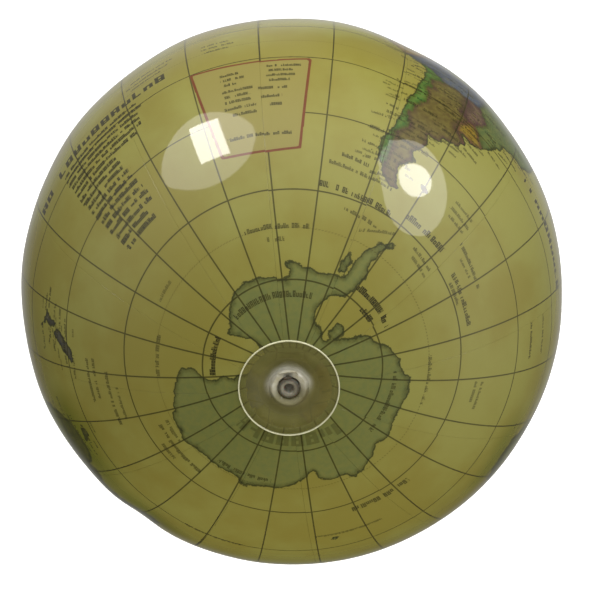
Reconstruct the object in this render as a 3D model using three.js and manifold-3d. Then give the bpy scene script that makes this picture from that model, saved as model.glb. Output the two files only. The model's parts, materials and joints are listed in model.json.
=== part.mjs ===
// Inflatable printed vinyl globe ball with a push-in air valve, lying with its valve side up.
// Millimetres, +Z up. The origin is the centre of the flat spot that the ball rests on.

import * as THREE from "three";
import { mergeVertices } from "three/addons/utils/BufferGeometryUtils.js";
import Module from "manifold-3d";

const wasm = await Module();
wasm.setup();

// The inflated skin: twelve pole-to-pole panels, welded edge to edge.
const ballRadius = 130;
const filmThickness = 0.4;
const panelCount = 12;
const seamPull = 1.6; // how far a welded seam draws the skin in
const pullFadeStart = 0.25; // the pull dies out towards the poles, where the seams crowd together:
const pullFadeEnd = 0.6; // from this to that distance off the axis, as a share of the radius
const seamAllowance = 4; // depth of the panel edge that is turned inwards and welded
const touchGap = 0.3; // gap kept between pieces that touch
const poleHoleRadius = 16; // the panels' tips end here, under the pole discs
const restFlatRadius = 22; // the skin flattens this far around its resting point

// The discs welded over both poles.
const discRadius = 18.9;
const discThickness = 0.5;
const valveDip = 1.6; // how far the pushed-in valve draws its disc down
const dipRadius = 15;

// The valve: a funnel-mouthed flange, a soft neck, a sliding stem and a tethered plug.
const mouthRadius = 7.4; // hole in the clear disc
const flangeRadius = 11.5;
const flangeThickness = 0.8;
const flareDepth = 5; // the mouth narrows to the throat over this depth
const flareSteps = 6;
const flareBackDepth = 2; // the back of the flare is free of the flange below this depth
const throatRadius = 4.75;
const throatWall = 0.5;
const throatDepth = 6.5;
const stemRadius = 3.9;
const boreRadius = 3.2;
const rimDepth = 1.05; // stem's rim, below the lip of the funnel
const stemLength = 14.5;
const collarRadius = 4.35;
const collarHeight = 1;
const capThickness = 1.2;
const capEdge = 0.25;
const pinRadius = 2.85;
const pinTipRadius = 1.6;
const pinLength = 3.9;
const dimpleRadius = 1.85;
const dimpleFloorRadius = 1.5;
const dimpleDepth = 2.6;
const tetherWidth = 3;
const tetherThickness = 0.4;
const tetherDrop = 1.2;
const tetherRise = 0.8;
const tetherBend = 0.35; // half of the thin bend between strap and lug, where the plug turns
const flapRadius = 3.7;
const flapThickness = 0.5;

const panelSteps = 16;
const panelColumns = 4;
const cutOverrun = 1; // how far a cutting solid runs past what it cuts
const holeOverrun = 0.7; // the hollow runs on past the panel's tips, to this share of their angle
const discRings = 6;
const discSegments = 36;
const valveSegments = 24;

const panelAngle = (2 * Math.PI) / panelCount;
const restDepth = Math.sqrt(ballRadius ** 2 - restFlatRadius ** 2);
const centreHeight = restDepth + touchGap + discThickness;
const lipLevel = discTop(mouthRadius);
const rimLevel = lipLevel - rimDepth;
const stemFoot = rimLevel - stemLength;
const capFoot = rimLevel + touchGap;
const tetherOffset = stemRadius + touchGap + tetherThickness / 2;
const hingeLevel = rimLevel + tetherBend;

function film(colour, roughness) {
  return new THREE.MeshStandardMaterial({ color: colour, roughness, metalness: 0 });
}

const printedFilm = film("#978d52", 0.3);
const clearFilm = film("#b4b093", 0.2);
const softVinyl = film("#cfccc0", 0.4);
const greyVinyl = film("#9a978a", 0.45);

// Height of the valve disc's outer face above the ball's centre.
function discTop(radius) {
  const outside = ballRadius + touchGap + discThickness;
  const dip = valveDip * (1 - THREE.MathUtils.smoothstep(radius, mouthRadius, dipRadius));
  return Math.sqrt(outside ** 2 - radius ** 2) - dip;
}

// A closed (radius, height) profile turned about the Z axis.
function revolve(profile, segments) {
  const points = profile.map(([radius, height]) => new THREE.Vector2(radius, height));
  return new THREE.LatheGeometry(points, segments).rotateX(Math.PI / 2);
}

// Values from first to last in even steps.
function evenSteps(first, last, steps) {
  return Array.from({ length: steps + 1 }, (_, step) => first + ((last - first) * step) / steps);
}

function closeLoop(profile) {
  return [...profile, profile[0]];
}

// --- skin panels ---

// A point of the skin's section, at some depth under its outer face.
function skinPoint(colatitude, depth) {
  const radius = ballRadius - depth;
  const height = Math.max(radius * Math.cos(colatitude), depth - restDepth);
  return [radius * Math.sin(colatitude), height];
}

function shellSection(colatitudes, outerDepth, innerDepth) {
  const outer = colatitudes.map((angle) => skinPoint(angle, outerDepth));
  const inner = colatitudes.map((angle) => skinPoint(angle, innerDepth));
  return closeLoop([...inner, ...outer.reverse()]);
}

// Draws the skin in towards the seams, which lie half a panel each side of +X.
function drawInSeams(geometry) {
  const place = geometry.attributes.position;
  const point = new THREE.Vector3();
  for (let index = 0; index < place.count; index += 1) {
    point.fromBufferAttribute(place, index);
    const turn = Math.atan2(point.y, point.x) / panelAngle;
    const fromMiddle = 2 * Math.abs(turn - Math.round(turn));
    const side = Math.hypot(point.x, point.y) / point.length();
    const fade = THREE.MathUtils.smoothstep(side, pullFadeStart, pullFadeEnd);
    point.multiplyScalar(1 - (seamPull * fade * fromMiddle ** 2) / ballRadius);
    place.setXYZ(index, point.x, point.y, point.z);
  }
  return geometry;
}

function toSolid(geometry) {
  geometry.deleteAttribute("normal");
  geometry.deleteAttribute("uv");
  const merged = mergeVertices(geometry, 1e-4);
  return new wasm.Manifold(
    new wasm.Mesh({
      numProp: 3,
      vertProperties: new Float32Array(merged.attributes.position.array),
      triVerts: new Uint32Array(merged.index.array),
    }),
  );
}

function toGeometry(solid) {
  const mesh = solid.getMesh();
  const geometry = new THREE.BufferGeometry();
  geometry.setAttribute("position", new THREE.BufferAttribute(mesh.vertProperties, 3));
  geometry.setIndex(new THREE.BufferAttribute(mesh.triVerts, 1));
  return geometry;
}

// One panel's slice of the ball, its two side planes moved inwards by inset.
function panelWedge(inset) {
  const half = panelAngle / 2;
  const reach = 2 * ballRadius;
  const tip = inset / Math.sin(half);
  const outline = new THREE.Shape();
  outline.moveTo(tip, 0);
  outline.lineTo(tip + reach * Math.cos(half), -reach * Math.sin(half));
  outline.lineTo(tip + reach * Math.cos(half), reach * Math.sin(half));
  outline.closePath();
  const slab = new THREE.ExtrudeGeometry(outline, { depth: 2 * reach, bevelEnabled: false });
  return toSolid(slab.translate(0, 0, -reach));
}

function panelGeometry() {
  const first = Math.asin(poleHoleRadius / ballRadius);
  const flatEdge = Math.PI - Math.asin(restFlatRadius / ballRadius);
  const rows = [...evenSteps(first, flatEdge, panelSteps), Math.PI - first];
  const longer = [holeOverrun * first, ...rows, Math.PI - holeOverrun * first];
  const segments = panelColumns * panelCount;
  const ribbed = drawInSeams(revolve(shellSection(rows, 0, seamAllowance), segments));
  const hollow = drawInSeams(
    revolve(shellSection(longer, filmThickness, seamAllowance + cutOverrun), segments),
  );
  const slice = toSolid(ribbed).intersect(panelWedge(touchGap / 2));
  const inside = toSolid(hollow).intersect(panelWedge(touchGap / 2 + filmThickness));
  return toGeometry(slice.subtract(inside));
}

// --- pole discs ---

function valveDiscGeometry() {
  const radii = evenSteps(mouthRadius, discRadius, discRings);
  const top = radii.map((radius) => [radius, discTop(radius)]);
  const foot = radii.map((radius) => [radius, discTop(radius) - discThickness]);
  return revolve(closeLoop([...foot, ...top.reverse()]), discSegments);
}

function restDiscGeometry() {
  const profile = [
    [0, -centreHeight],
    [discRadius, -centreHeight],
    [discRadius, discThickness - centreHeight],
    [0, discThickness - centreHeight],
  ];
  return revolve(profile, discSegments);
}

// --- valve ---

// The funnel's radius at some depth below its lip.
function flareRadius(depth) {
  const lipRadius = mouthRadius - touchGap;
  const rise = Math.max(0, 1 - depth / flareDepth);
  return throatRadius + (lipRadius - throatRadius) * rise ** 2;
}

function flangeGeometry() {
  const ringRadii = evenSteps(mouthRadius + touchGap, flangeRadius, 2);
  const ringTop = ringRadii.map((r) => [r, discTop(r) - discThickness - touchGap]);
  const ringFoot = ringTop.map(([r, height]) => [r, height - flangeThickness]).reverse();
  const inside = [...evenSteps(0, flareDepth, flareSteps), throatDepth];
  const outside = [...evenSteps(flareBackDepth, flareDepth, flareSteps / 2), throatDepth];
  const funnel = inside.map((depth) => [flareRadius(depth), lipLevel - depth]).reverse();
  const back = outside.map((depth) => [flareRadius(depth) + throatWall, lipLevel - depth]);
  const collar = [[mouthRadius - touchGap, ringTop[0][1]], ...ringTop, ...ringFoot];
  return revolve(closeLoop([...funnel, ...collar, ...back].reverse()), valveSegments);
}

function neckGeometry() {
  const top = lipLevel - throatDepth - touchGap;
  const profile = [
    [throatRadius, stemFoot],
    [throatRadius + throatWall, stemFoot],
    [throatRadius + throatWall, top],
    [throatRadius, top],
  ];
  return revolve(closeLoop(profile), valveSegments);
}

function stemGeometry() {
  const profile = [
    [boreRadius, stemFoot],
    [collarRadius, stemFoot],
    [collarRadius, stemFoot + collarHeight],
    [stemRadius, stemFoot + collarHeight],
    [stemRadius, rimLevel],
    [boreRadius, rimLevel],
  ];
  return revolve(closeLoop(profile), valveSegments);
}

function plugGeometry() {
  const capTop = capFoot + capThickness;
  const profile = [
    [0, capFoot - pinLength],
    [pinTipRadius, capFoot - pinLength],
    [pinRadius, capFoot],
    [stemRadius - capEdge, capFoot],
    [stemRadius, capFoot + capEdge],
    [stemRadius, capTop - capEdge],
    [stemRadius - capEdge, capTop],
    [dimpleRadius, capTop],
    [dimpleFloorRadius, capTop - dimpleDepth],
    [0, capTop - dimpleDepth],
  ];
  return revolve(profile, valveSegments);
}

// Strap and lug stand one above the other on the -Y side; the plug turns between them.
function tetherGeometry(foot, height) {
  const strap = new THREE.BoxGeometry(tetherWidth, tetherThickness, height);
  return strap.translate(0, -tetherOffset, foot + height / 2);
}

function flapGeometry() {
  const outline = new THREE.Shape();
  outline.absarc(0, 0, flapRadius, 0, 2 * Math.PI, false);
  const flap = new THREE.ExtrudeGeometry(outline, {
    depth: flapThickness,
    bevelEnabled: false,
    curveSegments: valveSegments,
  });
  return flap.translate(0, 0, stemFoot - touchGap - flapThickness);
}

// --- assembly ---

const ball = new THREE.Group();
ball.position.z = centreHeight;

function addPiece(name, geometry, material) {
  const piece = new THREE.Mesh(geometry, material);
  piece.name = name;
  ball.add(piece);
  return piece;
}

const panel = panelGeometry();
for (let index = 0; index < panelCount; index += 1) {
  const number = String(index + 1).padStart(2, "0");
  const piece = addPiece(`map_panel_${number}`, panel, printedFilm);
  piece.rotation.z = (index + 0.5) * panelAngle;
}
addPiece("valve_disc", valveDiscGeometry(), clearFilm);
addPiece("rest_disc", restDiscGeometry(), clearFilm);
addPiece("valve_flange", flangeGeometry(), softVinyl);
addPiece("valve_neck", neckGeometry(), softVinyl);
addPiece("valve_stem", stemGeometry(), greyVinyl);
addPiece("check_flap", flapGeometry(), softVinyl);
addPiece("valve_plug", plugGeometry(), greyVinyl);
addPiece("tether_lug", tetherGeometry(hingeLevel - tetherBend - tetherDrop, tetherDrop), greyVinyl);
addPiece("tether_strap", tetherGeometry(hingeLevel + tetherBend, tetherRise), greyVinyl);

const part = new THREE.Group();
part.add(ball);
part.updateMatrixWorld(true);

export default part;
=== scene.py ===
"""An inflatable globe ball: twelve printed vinyl panels welded pole to pole, with an air valve on top."""

import json
import math
import random

import bmesh
import bpy
import numpy as np
from mathutils import Matrix, Quaternion, Vector, noise


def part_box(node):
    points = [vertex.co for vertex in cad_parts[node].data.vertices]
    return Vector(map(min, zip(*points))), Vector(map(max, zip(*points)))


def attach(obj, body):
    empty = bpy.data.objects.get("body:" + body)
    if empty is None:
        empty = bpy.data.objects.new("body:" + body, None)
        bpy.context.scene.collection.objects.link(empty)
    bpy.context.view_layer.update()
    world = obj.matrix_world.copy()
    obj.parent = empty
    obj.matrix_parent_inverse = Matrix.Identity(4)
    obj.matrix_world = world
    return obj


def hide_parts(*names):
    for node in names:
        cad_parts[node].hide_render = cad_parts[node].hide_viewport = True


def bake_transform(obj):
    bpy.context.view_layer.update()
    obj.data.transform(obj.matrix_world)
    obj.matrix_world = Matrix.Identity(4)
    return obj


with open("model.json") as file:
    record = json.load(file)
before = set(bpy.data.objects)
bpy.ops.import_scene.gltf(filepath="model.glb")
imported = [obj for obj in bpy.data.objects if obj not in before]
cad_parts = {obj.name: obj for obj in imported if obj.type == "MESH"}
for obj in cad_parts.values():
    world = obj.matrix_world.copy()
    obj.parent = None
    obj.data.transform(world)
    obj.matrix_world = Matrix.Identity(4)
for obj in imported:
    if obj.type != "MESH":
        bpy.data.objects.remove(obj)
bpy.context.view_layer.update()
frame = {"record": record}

MM = 0.001

# --- sizes of the ball, in metres ---

PANELS = 12
PANEL_TURN = math.tau / PANELS
RADIUS = 0.130
TIP_RADIUS = 0.016
FILM = 0.0004
WELD_GAP = 0.00002
CREASE = 0.00005
WELD_DEPTH = 0.0034
REST_FLAT = 0.022
ROWS = 330
COLUMNS = 56
CREASE_STEPS = 3

# Columns past each long edge of a panel: the crease, and the edge turned inwards. The outermost
# column before them is only CRISP_BAND wide.
EDGE_COLUMNS = CREASE_STEPS + 1
CRISP_BAND = 0.00012

TIP_ANGLE = math.asin(TIP_RADIUS / RADIUS)
CENTRE = Vector((0, 0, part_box("map_panel_01")[1].z - RADIUS * math.cos(TIP_ANGLE)))
REST_DEPTH = math.sqrt(RADIUS**2 - REST_FLAT**2)

# How far each weld draws the skin in, by the weld's place round the ball. The panels were not cut
# and welded quite alike, so the ball is a little lumpy, and it isn't quite round.
WELD_PULL = [0.4, 0.5, 0.15, 0.1, 0.1, 0.1, 0.2, 0.4, 1.0, 0.3, 0.7, 0.3]
OVAL = 0.7 * MM
OVAL_SIDE = math.radians(98)
HOLLOW_SIDE = math.radians(46)
HOLLOW_WIDTH = math.radians(6)
HOLLOW_DEPTH = 1.3 * MM
SWELL = 0.2 * MM
SWELL_PITCH = 0.028
PUCKER = 0.10 * MM
PUCKER_PITCH = 0.006

# How far each of these reaches from the ball's waist towards its poles: none, then all, by the sine
# of the angle from the valve.
WELD_REACH = (0.62, 0.98)
HOLLOW_REACH = (0.6, 0.86)
OVAL_REACH = (0.3, 1.0)
PUCKER_REACH = (0.2, 0.9)

# --- the printed map: where its pole and its prime meridian lie on the ball ---

MAP_TILT = math.radians(3.3)
MAP_TILT_SIDE = math.radians(252.6)
MAP_TURN = 165.5
GRID = 15
POLAR_CIRCLE = 66.5
TROPIC = 23.4
PRINT_SLIP = 0.12

# Distances on the map are kept within FAR, in mm. Wobbles are (pitch in metres, size, seed).
FAR = 9.0
COAST_WOBBLES = ((0.011, 1.1, 3.0), (0.0035, 0.5, 8.0))
BORDER_BEND = 0.035
BORDER_PITCH = 0.02
BORDER_SEEDS = (5, 7, 11)
# Painted shade: a darker lime patch on the sea round southern Australia and Africa.
SHADE_PATCH_REACH = 24
SHADE_PATCH_WOBBLE = (0.03, 4, 2.0)
SHADE_PATCH_END = 0.5
SHADE_PATCH_FADE = 0.12


def ink(red, green, blue):
    """A printed colour, given as it looks on a screen, in the linear form that shaders take."""
    return tuple((part / 255 / 12.92) if part < 10.3 else ((part / 255 + 0.055) / 1.055) ** 2.4
                 for part in (red, green, blue))


GREEN = ink(14, 88, 28)
BROWN = ink(58, 40, 18)
SLATE = ink(22, 48, 92)
MUSTARD = ink(108, 80, 14)
SAGE = ink(54, 76, 42)
PLUM = ink(62, 20, 50)
LIME = ink(85, 94, 16)
TAN = ink(118, 80, 36)
DUSK = ink(26, 32, 60)
ICE = ink(86, 94, 50)
FOREST = ink(36, 48, 8)

# Coastlines as (longitude, latitude) in degrees.
ANTARCTICA = [
    (-57, -63.3), (-59, -64.5), (-61, -66), (-61.5, -68), (-61, -71), (-61.5, -73.5), (-64, -75.2),
    (-72, -76.8), (-79, -78.5), (-76, -81), (-66, -82.6), (-52, -82.8), (-42, -81.5), (-36, -79),
    (-34, -77.6), (-28, -76), (-22, -74.5), (-17, -73), (-12, -72), (-5, -71), (0, -69.8), (10, -70),
    (20, -70), (30, -69.2), (36, -69.5), (40, -69.2), (46, -67.5), (54, -66), (58, -67.3), (64, -67.6),
    (69, -68.5), (71, -70.6), (74, -70), (78, -68.5), (84, -67), (90, -66.8), (97, -66.5), (103, -65.5),
    (109, -66.8), (115, -66.4), (122, -66.6), (129, -67), (135, -66.2), (141, -66.8), (146, -67.3),
    (152, -68.5), (160, -69.3), (166, -70.5), (170.5, -71.3), (170, -73), (165, -75), (163, -77),
    (165, -78.5), (162, -80), (165, -82), (172, -83.6), (180, -84.6), (195, -85.3), (205, -84),
    (209, -81.5), (205, -79.5), (203, -78), (210, -77), (215, -75.8), (224, -74.6), (233, -73.8),
    (243, -74), (250, -74.5), (257, -75), (260, -73.5), (258, -72.5), (264, -72.3), (272, -72.8),
    (280, -73), (286, -72.8), (291, -72.6), (292.5, -70.5), (293, -69), (293.5, -67.5), (295, -66),
    (298, -64.6), (301, -63.3),
]
SOUTH_AMERICA = [
    (-80, 0.5), (-81, -4), (-81, -6), (-79, -8), (-77, -12), (-76, -14), (-72, -17), (-70.3, -19),
    (-70.2, -23), (-71, -28), (-71.6, -31), (-73, -36), (-73.5, -40), (-74, -43), (-75.5, -47),
    (-75, -50), (-73, -53), (-69, -55), (-65.5, -54.9), (-68.5, -52.5), (-69, -51), (-67.5, -49.5),
    (-65.8, -47.5), (-67.3, -45.8), (-65.3, -44), (-65, -41), (-62.3, -40.5), (-62, -39), (-58, -38.2),
    (-57, -36.5), (-58.5, -34.5), (-56, -34.8), (-53.5, -33.7), (-50.5, -30.5), (-48.6, -27.5),
    (-48.5, -25.5), (-45, -23.4), (-41.8, -22.7), (-39.5, -19), (-39, -15), (-38, -13), (-35, -9),
    (-35, -6), (-38, -3.5), (-42, -2.8), (-45, -2), (-48.5, -0.8), (-50, 1), (-51.5, 4.2), (-54, 5.8),
    (-57.5, 6), (-60, 8.5), (-62.5, 10.2), (-66, 10.6), (-70, 11.8), (-72, 11.5), (-75, 10.8),
    (-77, 8.3), (-77.8, 5.5), (-77.5, 3.5), (-79, 1.5),
]
NORTH_AMERICA = [
    (-77.5, 8.5), (-79.5, 9.5), (-82.5, 9), (-83.7, 11), (-83.3, 15), (-86, 15.9), (-88.8, 15.9),
    (-87.8, 18.5), (-87, 21.3), (-90.5, 21), (-91, 18.7), (-94.5, 18.2), (-97.3, 21), (-97.5, 25),
    (-97, 28), (-94, 29.6), (-90, 29.2), (-87, 30.3), (-84, 30), (-82.7, 28), (-81.8, 26), (-80.3, 25.3),
    (-80.5, 28), (-81.3, 31), (-78, 34), (-75.6, 35.4), (-76, 38), (-74, 40.5), (-70, 41.8),
    (-70.3, 43.7), (-67, 45), (-65.5, 43.7), (-60.5, 46.5), (-64.5, 47.5), (-65.5, 49.2), (-60, 50.2),
    (-56, 52.5), (-60, 55), (-62.5, 58.3), (-65, 60.3), (-70, 61), (-73.5, 62.3), (-78, 62.4),
    (-77.5, 58.5), (-76.8, 56), (-79.5, 54.5), (-79, 51.6), (-82.3, 53), (-83, 55.2), (-88, 56.6),
    (-92.5, 57.3), (-94.5, 60), (-91, 63), (-87.5, 65), (-82, 67), (-85, 69.5), (-92, 69.5), (-97, 68),
    (-105, 68), (-115, 68.5), (-125, 70), (-135, 69.3), (-145, 70), (-156, 71.2), (-163, 69.5),
    (-166, 68.3), (-163, 66.8), (-168, 65.6), (-161, 64.5), (-165.5, 62), (-162, 59.5), (-158, 58.6),
    (-163.5, 55), (-157, 56.8), (-153, 59), (-148, 60.5), (-140, 59.8), (-136, 58.2), (-132, 55.5),
    (-128, 51), (-123.5, 49), (-124.5, 46), (-124.3, 40.5), (-122, 37), (-118.5, 34), (-117, 32),
    (-115.5, 30), (-112.5, 26.8), (-110, 23), (-111.5, 26), (-114.7, 31.5), (-112, 29), (-109, 26),
    (-105.7, 21.5), (-102, 18), (-96, 15.8), (-92, 14.5), (-87.5, 13), (-85.8, 11), (-83.5, 8.5),
    (-80, 7.4),
]
EURASIA = [
    (-9.3, 38.7), (-9, 43), (-1.8, 43.4), (-1.2, 46), (-4.7, 48.4), (1.5, 50.3), (4.3, 52.3), (8, 53.8),
    (8.2, 57), (10.6, 57.6), (10, 54.5), (14.2, 54), (19, 54.5), (21.2, 57.2), (24, 59.3), (29.5, 60),
    (22.8, 59.9), (21.3, 61.5), (25, 65), (22, 65.6), (17.5, 62), (18, 59.3), (16.3, 56.5), (13, 55.5),
    (11, 59), (7, 58), (5, 61), (10, 64), (14.5, 68), (20, 70), (26, 71), (31, 70), (41, 67), (37, 64),
    (44, 66), (44, 68.3), (54, 68.5), (60.5, 69.3), (67, 68.8), (69, 73), (73, 71), (74, 67.5),
    (80, 72.3), (87, 75), (98, 76), (104, 77.6), (113, 74), (127, 73), (131, 71), (140, 72.6),
    (152, 71), (160, 69.7), (170, 69.8), (180, 69), (190, 66.1), (185, 65), (180, 63.5), (177.5, 62.5),
    (170, 60), (164, 59.8), (162, 56), (156.8, 51.2), (156, 57), (160.5, 60.5), (154, 59.3),
    (143, 59.3), (137, 54), (141, 52.5), (140, 48.5), (135, 43.5), (130.5, 42.5), (127.5, 40),
    (129.4, 37), (129, 35.2), (126.3, 34.5), (126.7, 37.5), (125, 39.7), (121.5, 39), (118, 39.2),
    (119, 37.2), (122.5, 37), (119.5, 35), (121.8, 31.5), (121.5, 28), (118, 24.3), (113.5, 22.2),
    (110, 20.8), (108, 21.5), (105.8, 19), (108.8, 15.5), (109.2, 12), (105, 8.7), (104.8, 10.3),
    (102.2, 12.2), (100.5, 13.4), (99.5, 10), (100.5, 7), (103.4, 4), (103.8, 1.4), (101.2, 2.8),
    (98.3, 8), (98.7, 12), (97.5, 16.5), (94.3, 16), (92, 21.3), (88.5, 21.8), (85, 19.5), (80.3, 15.5),
    (80, 12), (77.5, 8.1), (76, 11), (73, 17), (72.7, 21), (70, 21), (68.5, 23.5), (66.5, 25.3),
    (58, 25.5), (56.5, 27.1), (51.5, 28), (49.5, 30.2), (48, 29.8), (50.2, 26.6), (51.5, 25), (54, 24.1),
    (56.3, 26), (59.5, 22.5), (57.5, 18.9), (52.2, 15.6), (45, 12.8), (43.2, 13), (42.5, 16.5),
    (39, 21.3), (35, 28), (34.3, 31.3), (35.8, 35.5), (36, 36.8), (30.7, 36.5), (27.5, 37), (26.5, 39.2),
    (29, 41), (35, 42), (41.3, 41.5), (37.3, 45), (35, 46.2), (33.5, 44.5), (30.8, 46.5), (28.7, 44),
    (28, 42), (26.3, 40.8), (23.5, 40.3), (24, 37.8), (22.5, 36.5), (20, 39.8), (19.3, 42), (14.5, 45),
    (12.4, 44.5), (16, 41.7), (18.5, 40), (16.5, 38.8), (15.7, 38), (15.5, 40), (12, 42), (10.2, 44),
    (7, 43.5), (3.2, 43.2), (0, 40.3), (-0.2, 38.5), (-2, 36.8), (-5.5, 36), (-8.9, 37),
]
AFRICA = [
    (-5.9, 35.8), (-2, 35.1), (5, 36.8), (10.5, 37.2), (10.5, 34.3), (15, 32.3), (19.8, 30.4),
    (21.5, 32.9), (29, 30.9), (32.3, 31.2), (32.6, 29.8), (34.5, 26), (37.2, 21), (38.5, 18),
    (43.2, 12.2), (44.5, 10.5), (51.2, 11.8), (48, 4.5), (42.5, -1), (39.5, -5), (40.6, -10.7),
    (40.6, -15), (35, -20), (35.5, -24), (32.8, -26.5), (31, -30), (27.5, -33.3), (22, -34.1),
    (18.5, -34.3), (18, -32), (15.3, -27), (14.4, -22.5), (11.8, -17), (13.5, -12), (12.3, -6), (9, -1),
    (9.7, 3.8), (6, 4.4), (1.5, 6.2), (-4, 5.2), (-8, 4.4), (-13, 8.5), (-16.8, 13), (-17.3, 14.8),
    (-16.2, 19), (-17, 21.5), (-13, 27.8), (-9.8, 30.5), (-6.9, 34),
]
AUSTRALIA = [
    (142.5, -10.8), (145.3, -15), (146.3, -19), (149.5, -21.5), (153, -25), (153.3, -29),
    (150.8, -34.5), (150, -37.4), (146.3, -39), (143.5, -38.8), (140.5, -38), (138, -35.5),
    (137.8, -33), (135.5, -34.8), (131.5, -31.5), (126, -32.3), (123.5, -33.9), (118, -35),
    (115, -34.3), (115.7, -31.8), (113.5, -26), (114, -22), (118.5, -20.3), (122.2, -18), (125, -14.5),
    (129, -15), (131, -12.2), (136, -12), (135.8, -15), (139.5, -17.5), (141.3, -15),
]
GREENLAND = [
    (-44, 60), (-50, 63), (-53.5, 67), (-54, 70.5), (-58, 75), (-68, 76.3), (-71, 78), (-65, 80.5),
    (-50, 82.4), (-35, 83.5), (-22, 82.5), (-18, 79), (-20, 75), (-22, 71), (-27, 68.5), (-37, 65.8),
    (-41, 63),
]
ISLANDS = [
    [(-53, -80), (-49, -79.4), (-45, -80), (-45, -81.3), (-49, -82), (-53, -81.4)],
    [(-72, -69), (-75, -70.5), (-74, -72.2), (-70, -72.1), (-69.5, -70)],
    [(49.3, -12.2), (50.3, -15.5), (47.3, -24.8), (45, -25.5), (43.3, -22), (44.4, -16.5), (47.5, -14.7)],
    [(144.7, -40.8), (148.3, -40.9), (148, -43), (146.5, -43.6), (145.3, -42.5)],
    [(172.7, -34.5), (175.5, -36.8), (178.5, -37.7), (177, -39.5), (175.3, -41.6), (173.8, -39.3),
     (174.7, -37.5)],
    [(172.7, -40.6), (174.3, -41.8), (172.8, -43.7), (170.6, -45.9), (168.4, -46.6), (166.5, -45.9),
     (170.5, -43)],
    [(131, -0.8), (134.5, -1.5), (137.5, -1.6), (141, -2.6), (145, -4.4), (147.8, -6), (150.8, -10.4),
     (147, -9.5), (143.5, -8.5), (139, -8), (138, -5.5), (133, -4), (132.8, -2.5)],
    [(109.2, 1.8), (111.3, 2.6), (113.8, 4.6), (117, 7), (119, 5), (117.8, 1), (116.2, -3.8),
     (114.5, -4), (110.3, -2.8)],
    [(95.3, 5.6), (98, 4.5), (101, 2.2), (103.7, -0.8), (106, -3), (105.7, -5.8), (102.3, -4), (99, 0)],
    [(105.3, -6.8), (108.5, -6.7), (112.7, -6.8), (114.5, -8.2), (110, -8.1), (106.5, -7.4)],
    [(119, -3.5), (119.8, 0.5), (124.8, 1.5), (121, 0.3), (123.3, -1), (121.5, -2.3), (122.5, -5),
     (120, -5.5)],
    [(120.3, 16), (121, 18.5), (122.3, 18), (121.8, 15.5), (124, 12.7), (125.5, 11), (126.3, 7.5),
     (124, 6.5), (122, 7.5), (123.2, 9.5), (120.8, 13.8)],
    [(130, 31.5), (130, 33.5), (132.5, 35.5), (136, 36), (139, 38), (140.2, 41.3), (142, 39.5),
     (140.8, 36), (139, 34.8), (135.8, 33.5), (132, 33)],
    [(140, 41.7), (141.7, 45.3), (145.2, 43.5), (143, 42)],
    [(142, 46), (142.2, 54), (143.3, 53), (143.5, 49)],
    [(79.8, 8), (80.2, 9.6), (81.8, 7.5), (80.7, 6)],
    [(120.2, 23), (121.5, 25.2), (120.9, 22)],
    [(-84.8, 21.9), (-82, 23.1), (-77, 21.7), (-74.2, 20.2), (-77.6, 19.9), (-78, 20.8), (-82, 22.3)],
    [(-74.4, 18.4), (-73, 19.9), (-69, 19), (-68.4, 18.3), (-71.5, 17.8)],
    [(-61, -51.3), (-58, -51.3), (-58.5, -52.2), (-60.8, -52.2)],
    [(52, 71), (56, 73.5), (68, 76.8), (60, 75.8), (57, 71)],
    [(12, 79.5), (20, 80.3), (22, 78.3), (16, 76.8)],
    [(69, -48.8), (70.5, -49), (70, -49.8), (68.8, -49.6)],
    [(-156, 20.2), (-154.9, 19.5), (-155.8, 19)],
    [(-22, 64), (-24, 65.5), (-20, 66), (-16, 66.4), (-14, 65), (-18.5, 63.5)],
    [(-5.5, 50), (1.3, 51.2), (1.5, 52.8), (0, 53.5), (-2, 55.8), (-2, 57.5), (-4, 58.6), (-6, 57),
     (-4.8, 54.8), (-3, 53.8), (-4.8, 52.8), (-5, 51.7), (-3, 51.4)],
    [(-6.3, 52.3), (-10, 51.7), (-10, 54), (-8, 55.3), (-6, 54.5)],
    [(-66, 62.5), (-72, 64), (-78, 65), (-73, 68), (-80, 70), (-89, 71.5), (-87, 73.6), (-80, 73.8),
     (-72, 71), (-66, 68.5), (-62, 66)],
    [(-80, 76.5), (-88, 77), (-92, 80.5), (-80, 83), (-65, 83), (-72, 80), (-76, 78)],
    [(-105, 69.2), (-115, 69.4), (-118, 72), (-112, 73), (-105, 72), (-101, 70)],
    [(-120, 71.5), (-125, 72), (-123, 74.3), (-117, 73.5)],
]
CONTINENTS = [ANTARCTICA, SOUTH_AMERICA, NORTH_AMERICA, EURASIA, AFRICA, AUSTRALIA, GREENLAND]
NEW_ZEALAND = ISLANDS[4:6]
INLAND_SEA = [(49.5, 45.5), (53, 45.3), (53, 41), (53.8, 37), (50, 37.5), (49.3, 40.5), (47.5, 43)]

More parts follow.
